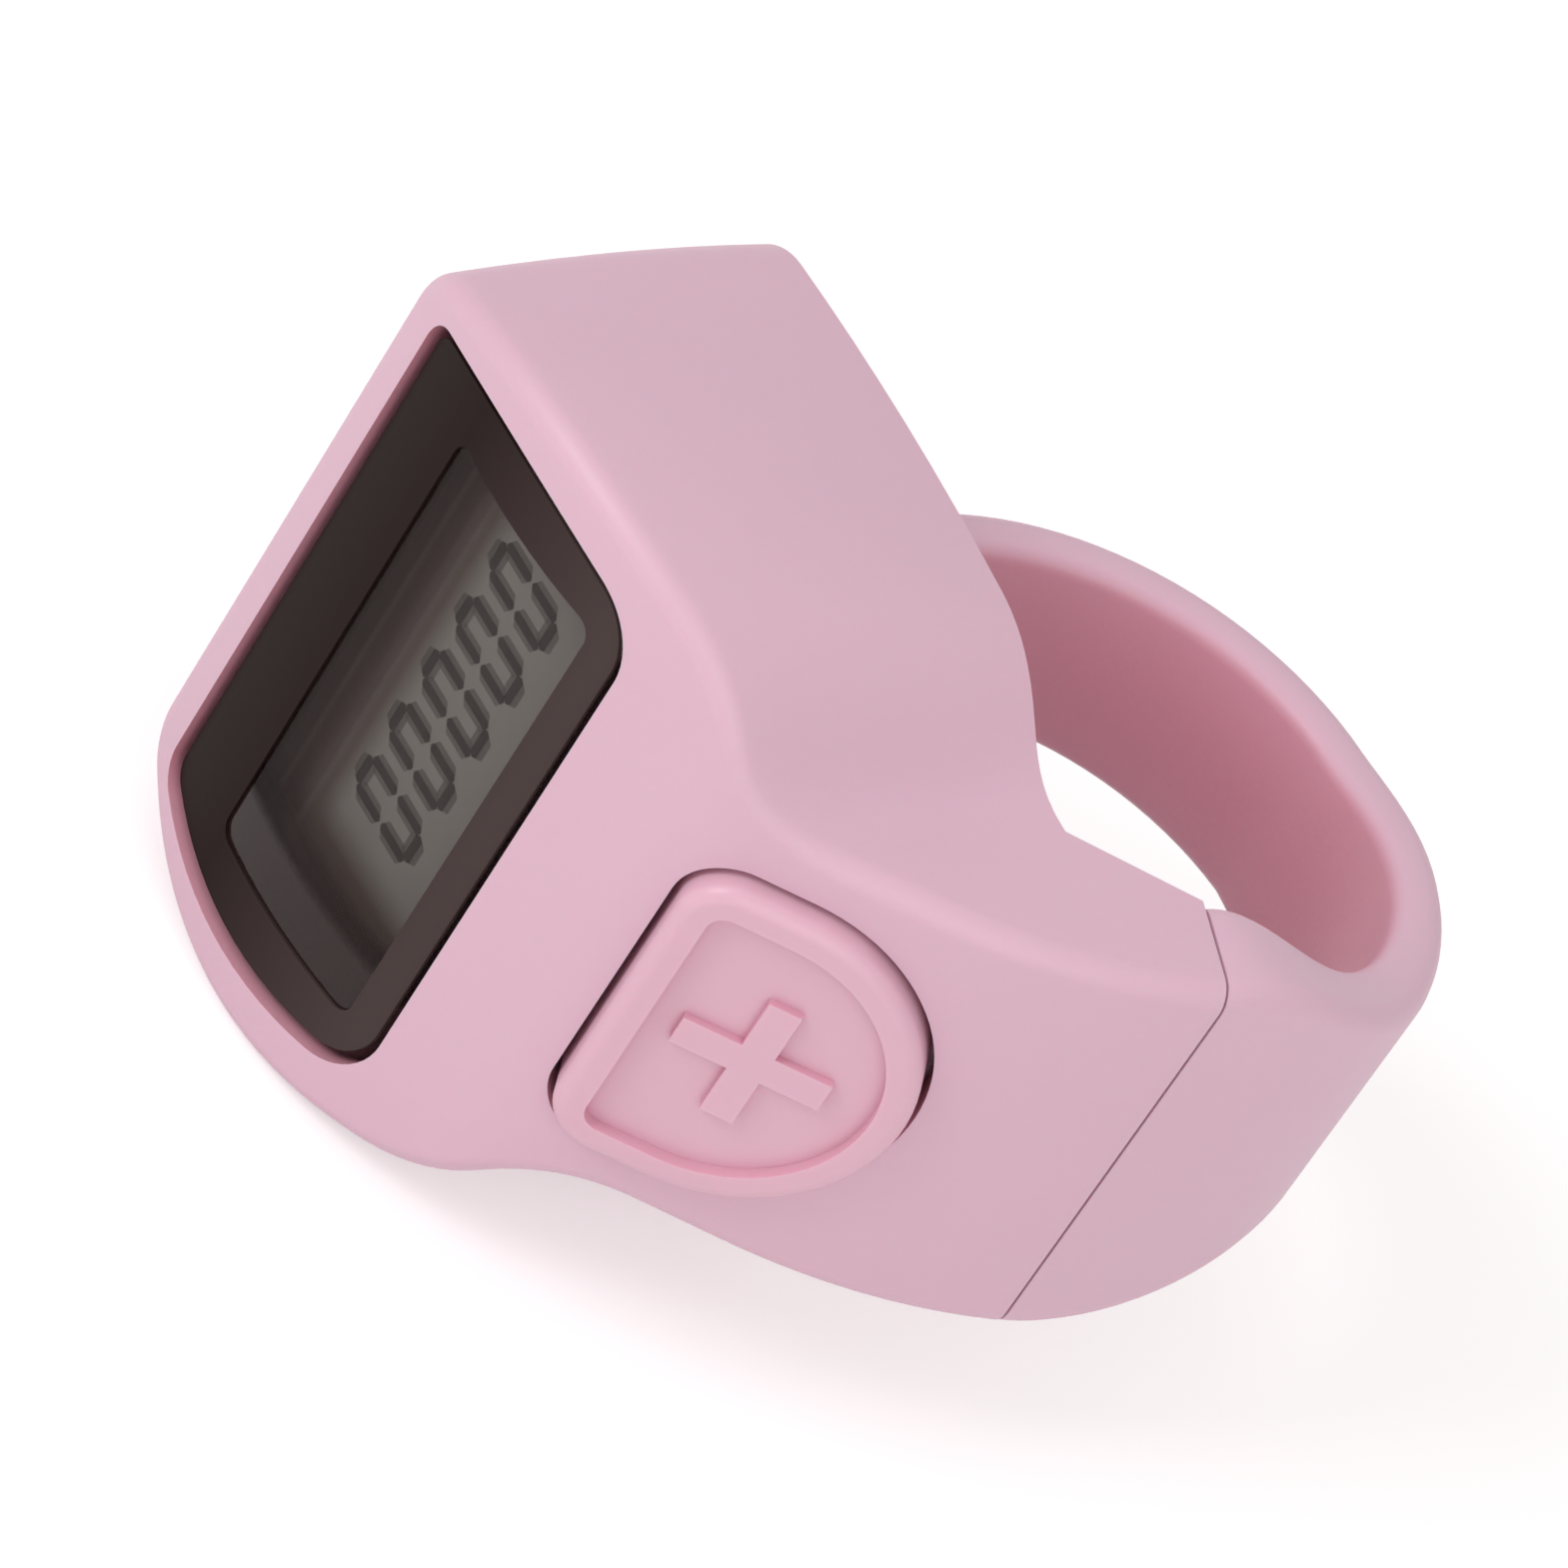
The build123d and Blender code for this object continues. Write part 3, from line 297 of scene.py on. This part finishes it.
# Digits: five noughts of six straight strokes each, the state after a reset.
# The real ones are liquid crystal between the glasses and throw soft shadows on the foil.
# As the polariser is drawn opaque, both rows lie a hair in front of it.
digit_count = 5
digit_pitch = 0.0025
digit_height = 0.0032
digit_width = 0.0013
stroke_width = 0.00036
stroke_gap = 0.00005
shadow_width = 0.0008
row_x = -0.0091
row_z = 0.00075
digit_lift = 0.00003
shadow_lift = 0.00001
# Driven liquid crystal: a soft dark grey, because the ground shows through a little.
liquid_crystal = finish("driven_liquid_crystal", "#242523", "#2B2C29", grain_mm=0.5,
                        depth_mm=0.0005, shader={"Roughness": 0.5, "Alpha": 0.5})
# Shadow on the foil: the same tone, thinned until only its soft rim can be told.
crystal_shadow = finish("crystal_shadow", "#302F2C", "#373632", grain_mm=0.5, depth_mm=0.0005,
                        shader={"Roughness": 0.6, "Alpha": 0.3})

row_tree = bpy.data.node_groups.new("digit_row", "GeometryNodeTree")
row_tree.interface.new_socket("Geometry", in_out="INPUT", socket_type="NodeSocketGeometry")
row_tree.interface.new_socket("Geometry", in_out="OUTPUT", socket_type="NodeSocketGeometry")
row_inputs = {"Digits": "Int", "Digit Pitch": "Float", "Digit Height": "Float",
              "Digit Width": "Float", "Stroke Width": "Float", "Stroke Gap": "Float",
              "Place": "Vector", "Surface": "Material"}
for label, kind in row_inputs.items():
    row_tree.interface.new_socket(label, in_out="INPUT", socket_type="NodeSocket" + kind)
given = add(row_tree, "NodeGroupInput").outputs
stroke_corners = 6
corner_share = 1 / math.sqrt(3)
quarter_turn = math.pi / 2


def stroke(length):
    """One stroke along X with pointed ends: a six-sided disc pulled apart at its middle."""
    radius = reckon(row_tree, "MULTIPLY", given["Stroke Width"], corner_share)
    disc = add(row_tree, "GeometryNodeMeshCircle",
               {"fill_type": "NGON", "Vertices": stroke_corners, "Radius": radius})
    half_length = reckon(row_tree, "MULTIPLY", length, 0.5)
    pull = reckon(row_tree, "SUBTRACT", half_length, radius)
    spot = add(row_tree, "GeometryNodeInputPosition").outputs[0]
    side = add(row_tree, "ShaderNodeSeparateXYZ", {0: spot}).outputs[0]
    shift = reckon(row_tree, "MULTIPLY", reckon(row_tree, "SIGN", side, 0.0), pull)
    way = add(row_tree, "ShaderNodeCombineXYZ", {"X": shift})
    return add(row_tree, "GeometryNodeSetPosition",
               {"Geometry": disc.outputs[0], "Offset": way.outputs[0]}).outputs[0]


def centred_row(count, pitch, axis):
    """Points in a row along one axis, with the row's middle at the origin."""
    half_steps = reckon(row_tree, "MULTIPLY", reckon(row_tree, "SUBTRACT", count, 1.0), -0.5)
    first = reckon(row_tree, "MULTIPLY", half_steps, pitch)
    start = add(row_tree, "ShaderNodeCombineXYZ", {axis: first})
    step = add(row_tree, "ShaderNodeCombineXYZ", {axis: pitch})
    return add(row_tree, "GeometryNodeMeshLine",
               {"mode": "OFFSET", "Count": count, "Start Location": start.outputs[0],
                "Offset": step.outputs[0]}).outputs[0]


double_gap = reckon(row_tree, "MULTIPLY", given["Stroke Gap"], 2.0)
half_height = reckon(row_tree, "MULTIPLY", given["Digit Height"], 0.5)
upright_spots = add(row_tree, "GeometryNodeMeshGrid",
                    {"Vertices X": 2, "Vertices Y": 2, "Size X": half_height,
                     "Size Y": given["Digit Width"]}).outputs[0]
upright = stroke(reckon(row_tree, "SUBTRACT", half_height, double_gap))
uprights = add(row_tree, "GeometryNodeInstanceOnPoints",
               {"Points": upright_spots, "Instance": upright})
bar_count = add(row_tree, "FunctionNodeInputInt", {"integer": 2}).outputs[0]
bar_spots = centred_row(bar_count, given["Digit Height"], "X")
bar = stroke(reckon(row_tree, "SUBTRACT", given["Digit Width"], double_gap))
bars = add(row_tree, "GeometryNodeInstanceOnPoints",
           {"Rotation": (0.0, 0.0, quarter_turn), "Points": bar_spots, "Instance": bar})
nought = add(row_tree, "GeometryNodeJoinGeometry", {0: bars.outputs[0]})
row_tree.links.new(uprights.outputs[0], nought.inputs[0])
row_spots = centred_row(given["Digits"], given["Digit Pitch"], "Y")
row = add(row_tree, "GeometryNodeInstanceOnPoints",
          {"Points": row_spots, "Instance": nought.outputs[0]})
row = add(row_tree, "GeometryNodeRealizeInstances", {"Geometry": row.outputs[0]})
placed = add(row_tree, "GeometryNodeTransform",
             {"Rotation": (quarter_turn, 0.0, 0.0), "Geometry": row.outputs[0],
              "Translation": given["Place"]})
inked = add(row_tree, "GeometryNodeSetMaterial",
            {"Geometry": placed.outputs[0], "Material": given["Surface"]})
add(row_tree, "NodeGroupOutput", {0: inked.outputs[0]})

glass_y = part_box("lcd_front_glass")[0].y
for name, width, lift, surface in (("digit_shadows", shadow_width, shadow_lift, crystal_shadow),
                                   ("display_digits", stroke_width, digit_lift, liquid_crystal)):
    values = {"Digits": digit_count, "Digit Pitch": digit_pitch, "Digit Height": digit_height,
              "Digit Width": digit_width, "Stroke Width": width, "Stroke Gap": stroke_gap,
              "Place": (row_x, glass_y - lift, row_z), "Surface": surface}
    maker = put(name + "_maker", bpy.data.meshes.new(name + "_maker"))
    modifier = maker.modifiers.new("digit_row", "NODES")
    modifier.node_group = row_tree
    for item in row_tree.interface.items_tree:
        if item.in_out == "INPUT" and item.name in values:
            modifier[item.identifier] = values[item.name]
    made = maker.evaluated_get(bpy.context.evaluated_depsgraph_get())
    row_mesh = bpy.data.meshes.new_from_object(made)
    bpy.data.objects.remove(maker)
    digits = put(name, row_mesh)
    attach(digits, "case")

# Holder and connector: a moulded frame that clips on the board and carries the glasses.
# The rubber strip beside them joins the glass's contacts to the board's.
# Moulded ABS, natural white: even and slightly satin.
white_abs = finish("white_moulded_abs", "#D9D8D2", "#D2D0CA", grain_mm=0.15, depth_mm=0.004,
                   shader={"Roughness": 0.5, "IOR": 1.53})
dress("lcd_holder", white_abs)
# Silicone with carbon layers: matt dark grey.
carbon_silicone = finish("carbon_filled_silicone", "#2B2B2D", "#343437", grain_mm=0.1,
                         depth_mm=0.01, shader={"Roughness": 0.8})
dress("zebra_strip", carbon_silicone)

# Circuit board and switch board: routed from glass fibre epoxy, with printed copper tracks.
# The chip sits under a drop of resin; quartz and capacitors are soldered beside it.
# Solder mask: green and half glossy, its weave just felt through the coat.
solder_mask = finish("green_solder_mask", "#17502F", "#123F25", grain_mm=0.25, depth_mm=0.004,
                     shader={"Roughness": 0.35, "IOR": 1.5})
dress("circuit_board", solder_mask)
dress("switch_board", solder_mask)
# Potting epoxy: black, levelled by its own flow, so smooth and shiny.
potting_epoxy = finish("black_potting_epoxy", "#0C0C0D", "#101011", grain_mm=1.5, depth_mm=0.01,
                       shader={"Roughness": 0.25})
dress("chip_cover", potting_epoxy)
# Tin-plated steel can: bright but slightly milky.
tin_plate = finish("tin_plated_steel", "#B9B9B5", "#ADADA9", grain_mm=0.08, depth_mm=0.003,
                   shader={"Roughness": 0.28, "Metallic": 1.0})
dress("quartz", tin_plate)
# Fired ceramic: dull sandy brown.
fired_ceramic = finish("fired_ceramic", "#8A6E52", "#7C6248", grain_mm=0.05, depth_mm=0.003,
                       shader={"Roughness": 0.6})
for name in ("capacitor_1", "capacitor_2", "capacitor_3"):
    dress(name, fired_ceramic)

# Switches under the two buttons: moulded housings with a plunger that the button's post presses.
# The count switch sits on its own tilted board, joined to the main one by two wires.
# Glass-filled nylon: black with a dry sheen.
black_nylon = finish("glass_filled_nylon", "#131314", "#1A1A1B", grain_mm=0.1, depth_mm=0.005,
                     shader={"Roughness": 0.55})
dress("count_switch", black_nylon)
dress("reset_switch", black_nylon)
# Acetal: grey and waxy.
grey_acetal = finish("grey_acetal", "#6E6A64", "#66625C", grain_mm=0.1, depth_mm=0.003,
                     shader={"Roughness": 0.35})
dress("count_switch_stem", grey_acetal)
dress("reset_switch_stem", grey_acetal)
# Extruded PVC: red, smooth, a little soft in its shine.
red_pvc = finish("red_extruded_pvc", "#8C1A14", "#7E1510", grain_mm=0.2, depth_mm=0.005,
                 shader={"Roughness": 0.45})
dress("switch_lead_1", red_pvc)
dress("switch_lead_2", red_pvc)

# Battery and its contacts: a button cell in a pressed can, a side spring and a leaf spring.
# The springs are stamped from strip and soldered to the circuit board.
# Nickel plate on drawn steel: bright, with the faint haze of the draw.
nickel_plate = finish("nickel_plated_steel", "#C4C1BA", "#BAB7B0", grain_mm=0.05, depth_mm=0.002,
                      shader={"Roughness": 0.18, "Metallic": 1.0})
dress("battery", nickel_plate)
# Gold-flashed spring bronze: warm yellow, rolled smooth.
spring_bronze = finish("gold_flashed_bronze", "#C9A45C", "#BD9850", grain_mm=0.06, depth_mm=0.002,
                       shader={"Roughness": 0.3, "Metallic": 1.0})
dress("battery_contact_plus", spring_bronze)
dress("battery_contact_minus", spring_bronze)

# Screws: cold-headed steel with a slot, driven into the plastic.
# The case screws come from the finger side, the board screws go into posts of the front shell.
# Zinc plate: grey with a slight bluish milkiness.
zinc_plate = finish("zinc_plated_steel", "#9C9DA0", "#8E8F93", grain_mm=0.07, depth_mm=0.003,
                    shader={"Roughness": 0.32, "Metallic": 1.0})
for name in ("case_screw_1", "case_screw_2", "board_screw_1", "board_screw_2",
             "battery_cover_screw"):
    dress(name, zinc_plate)

# Stage: a wide pale sheet of paper under the counter, level with its lowest point.
# The camera sees it brightened to white, and it keeps the counter's shadow.
floor_z = cad_bounds[0].z
floor_reach = 2
floor_corners = [(x, y, floor_z) for x, y in ((-floor_reach, -floor_reach),
                                              (floor_reach, -floor_reach),
                                              (floor_reach, floor_reach),
                                              (-floor_reach, floor_reach))]
floor_mesh = bpy.data.meshes.new("floor")
floor_mesh.from_pydata(floor_corners, [], [(0, 1, 2, 3)])
floor = put("floor", floor_mesh)
paper_glow = 0.42
paper = bpy.data.materials.new("white_paper")
tree = empty_tree(paper)
rays = add(tree, "ShaderNodeLightPath").outputs
seen = reckon(tree, "MAXIMUM", rays["Is Camera Ray"], rays["Is Glossy Ray"])
seen = reckon(tree, "MAXIMUM", seen, rays["Is Transmission Ray"])
matt = add(tree, "ShaderNodeBsdfDiffuse", {"Color": linear("#E2DEDE")})
glow = add(tree, "ShaderNodeEmission", {"Color": (1, 1, 1, 1), "Strength": paper_glow})
both = add(tree, "ShaderNodeAddShader", {0: matt.outputs[0], 1: glow.outputs[0]})
mixed = add(tree, "ShaderNodeMixShader", {0: seen, 1: matt.outputs[0], 2: both.outputs[0]})
add(tree, "ShaderNodeOutputMaterial", {"Surface": mixed.outputs[0]})
floor_mesh.materials.append(paper)

# Light: a soft box above and to the left, a weaker one from the right, and a bright tent.
# The tent lights from all sides and shows as plain white behind the counter.
tent_power = 0.65
world = bpy.data.worlds.new("tent")
bpy.context.scene.world = world
tree = empty_tree(world)
rays = add(tree, "ShaderNodeLightPath").outputs
seen = reckon(tree, "MAXIMUM", rays["Is Camera Ray"], rays["Is Transmission Ray"])
tent_light = add(tree, "ShaderNodeBackground", {"Color": (1, 1, 1, 1), "Strength": tent_power})
tent_seen = add(tree, "ShaderNodeBackground", {"Color": (1, 1, 1, 1), "Strength": 1.0})
mixed = add(tree, "ShaderNodeMixShader",
            {0: seen, 1: tent_light.outputs[0], 2: tent_seen.outputs[0]})
add(tree, "ShaderNodeOutputWorld", {"Surface": mixed.outputs[0]})
lamp_aim = Vector((0, -0.005, 0))


def soft_box(name, place, size, power):
    """A square area lamp that points at the counter."""
    lamp = bpy.data.lights.new(name, "AREA")
    lamp.shape = "SQUARE"
    lamp.size = size
    lamp.energy = power
    holder = put(name, lamp)
    holder.location = place
    holder.rotation_mode = "QUATERNION"
    holder.rotation_quaternion = (lamp_aim - Vector(place)).to_track_quat("-Z", "Y")


soft_box("key_box", place=(-0.12, -0.30, 0.28), size=0.2, power=0.62)
soft_box("fill_box", place=(0.30, -0.16, 0.16), size=0.3, power=0.34)

# Camera: fitted to the outlines in the photograph, a long lens from above the button side.
# Its three axes say which way the picture's right, its top and the viewer lie.
right = Vector((0.4726, 0.7726, 0.4240))
up = Vector((-0.7613, 0.1154, 0.6381))
back = Vector((0.4440, -0.6243, 0.6427))
camera_place = Vector((0.15494, -0.23166, 0.23138))
camera_data = bpy.data.cameras.new("camera")
camera_data.sensor_width = 36
camera_data.lens = 269.3
camera_data.clip_start = 0.01
camera_data.clip_end = 10
camera = put("camera", camera_data)
turn = Matrix((right, up, back)).transposed()
camera.matrix_world = Matrix.Translation(camera_place) @ turn.to_4x4()
bpy.context.scene.camera = camera

bpy.context.scene.view_settings.view_transform = "Standard"
